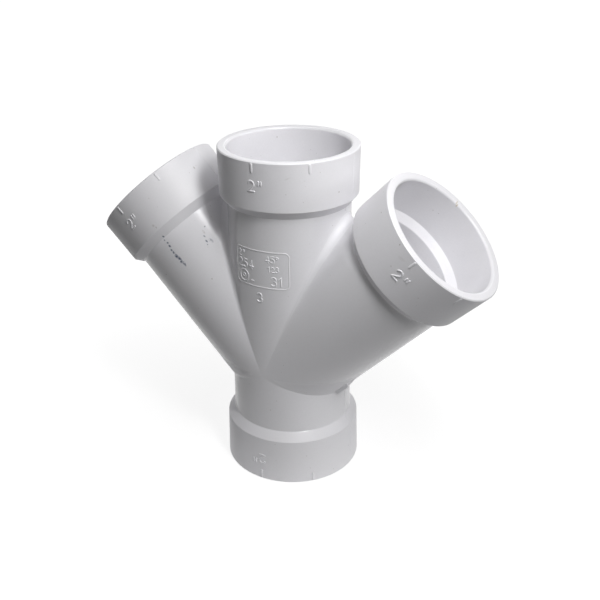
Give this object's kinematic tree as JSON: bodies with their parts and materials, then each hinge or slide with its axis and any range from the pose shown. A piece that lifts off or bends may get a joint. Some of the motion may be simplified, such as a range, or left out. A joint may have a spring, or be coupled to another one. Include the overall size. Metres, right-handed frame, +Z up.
{
  "type": "double wye pipe fitting",
  "caption": "White plastic drainage fitting that joins two sloping branch pipes into one straight pipe run, with a socket on every end.",
  "frame": {"origin": "centre of the lower socket's mouth, on the face that the fitting stands on", "axes": "+Z up the straight run towards its upper socket, +X towards the right branch, branches in the plane Y = 0, raised marks on the -Y side"},
  "size_m": [0.2088, 0.0702, 0.171],
  "materials": {
    "white_pvc": "semi-gloss moulded"
  },
  "bodies": {
    "root": {"double_wye": "white_pvc"}
  },
  "joints": []
}
